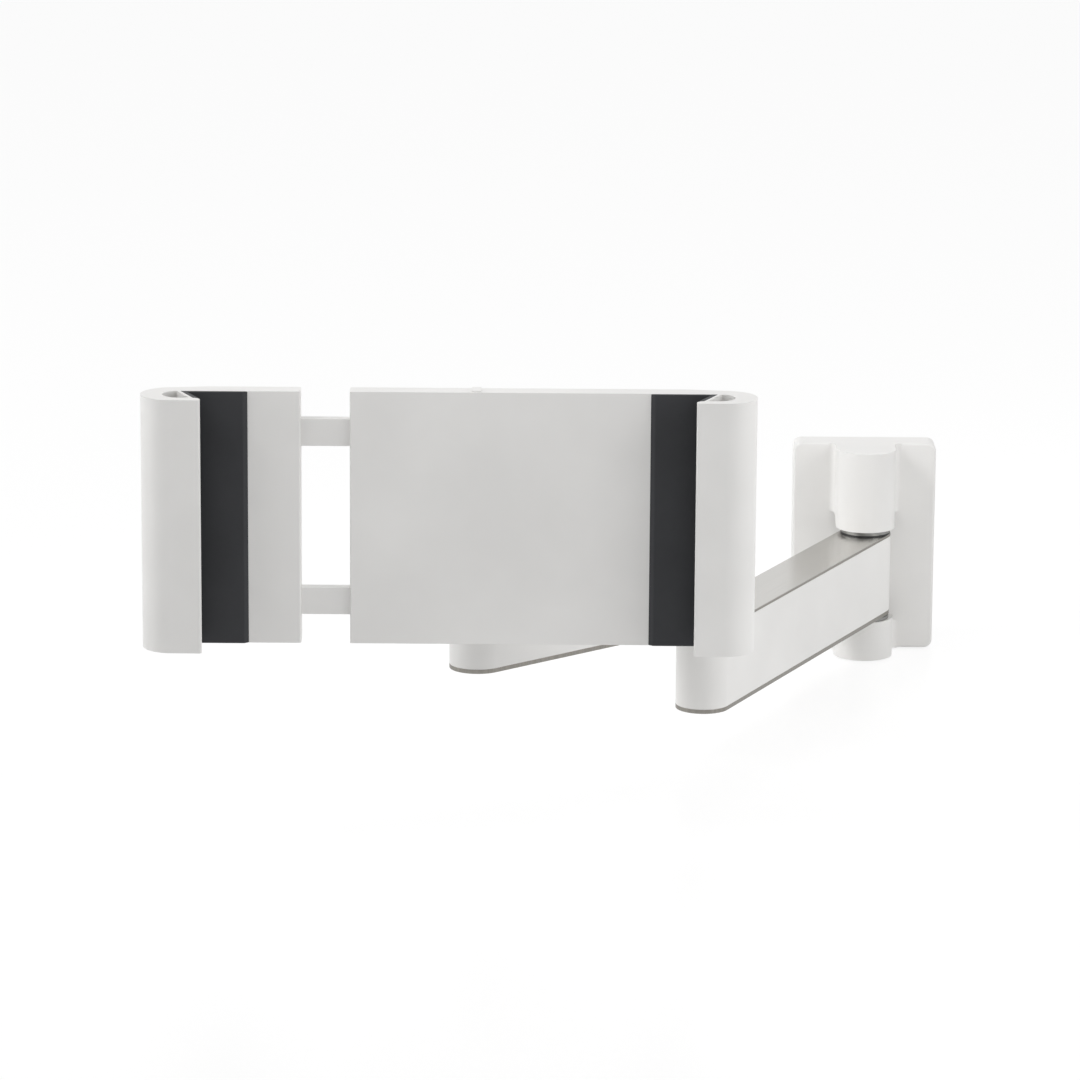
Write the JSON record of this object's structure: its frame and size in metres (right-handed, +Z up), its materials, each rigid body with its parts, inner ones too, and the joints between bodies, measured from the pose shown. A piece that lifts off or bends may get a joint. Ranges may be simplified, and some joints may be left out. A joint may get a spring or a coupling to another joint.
{
  "type": "tablet wall mount",
  "caption": "White wall mount with a jointed folding arm and a tilting, turning clamp holder that grips a tablet by its two long edges.",
  "frame": {"origin": "centre of the wall plate's back face", "axes": "+Y into the wall, +X to the right seen from the front, +Z up; the arms and the holder reach out along -Y"},
  "size_m": [0.2808, 0.2944, 0.1548],
  "materials": {
    "white_plastic": "satin moulded",
    "white_cast": "satin powder coat",
    "aluminium_trim": "brushed",
    "black_acetal": "moulded",
    "zinc_steel": "zinc plated",
    "brass": "turned",
    "black_rubber": "matte",
    "black_cast": "satin powder coat"
  },
  "bodies": {
    "wall_mount": {"wall_bracket": "zinc_steel", "wall_housing": "white_plastic", "lock_screws": "zinc_steel", "wall_pivot_bolt": "zinc_steel", "pivot_insert": "brass", "pivot_plug": "white_plastic", "wall_washers": "zinc_steel", "wall_pads": "black_acetal"},
    "lower_arm": {"lower_arm_body": "white_plastic", "lower_arm_top_plate": "aluminium_trim", "lower_arm_bottom_plate": "aluminium_trim", "lower_arm_bushes": "black_acetal", "elbow_bolt": "zinc_steel", "elbow_nut": "zinc_steel", "elbow_washer": "black_acetal"},
    "upper_arm": {"upper_arm_body": "white_plastic", "upper_arm_top_plate": "aluminium_trim", "upper_arm_bottom_plate": "aluminium_trim", "upper_arm_bushes": "black_acetal", "head_washer": "black_acetal"},
    "head": {"head_post": "white_cast", "head_bolt": "zinc_steel"},
    "tilt": {"tilt_yoke": "black_cast", "tilt_bolt": "zinc_steel", "tilt_nut": "zinc_steel", "tilt_washers": "black_acetal"},
    "holder": {"holder_shell": "white_plastic", "holder_back_cover": "white_plastic", "cover_screws": "zinc_steel", "holder_liner": "black_rubber", "rotation_bolt": "zinc_steel", "rotation_nut": "zinc_steel", "rotation_washer": "black_acetal", "rail_guides": "black_acetal", "jaw_springs": "zinc_steel"},
    "jaw": {"jaw_shell": "white_plastic", "jaw_back_cover": "white_plastic", "jaw_screws": "zinc_steel", "jaw_liner": "black_rubber", "jaw_rails": "white_plastic"}
  },
  "joints": [
    {"name": "wall_swivel", "type": "hinge", "parent": "wall_mount", "child": "lower_arm", "pos_m": [0, -0.0225, 0], "axis": [0, 0, 1], "range_deg": [-65, 115]},
    {"name": "elbow", "type": "hinge", "parent": "lower_arm", "child": "upper_arm", "pos_m": [-0.06505, -0.16264, 0], "axis": [0, 0, 1], "range_deg": [-92, 138]},
    {"name": "head_swivel", "type": "hinge", "parent": "upper_arm", "child": "head", "pos_m": [-0.14395, -0.23343, 0], "axis": [0, 0, 1], "range_deg": [-138, 41]},
    {"name": "tilt", "type": "hinge", "parent": "head", "child": "tilt", "pos_m": [-0.14395, -0.23343, 0.0718], "axis": [1, 0, 0], "range_deg": [-15, 15]},
    {"name": "rotate", "type": "hinge", "parent": "tilt", "child": "holder", "pos_m": [-0.14395, -0.27943, 0.0718], "axis": [0, 1, 0], "range_deg": [-90, 90]},
    {"name": "jaw_slide", "type": "slide", "parent": "holder", "child": "jaw", "axis": [-1, 0, 0], "range_m": [-0.016, 0.05], "stiffness_N_per_m": 250, "springref_m": -0.04, "deforming": ["jaw_springs"]}
  ]
}
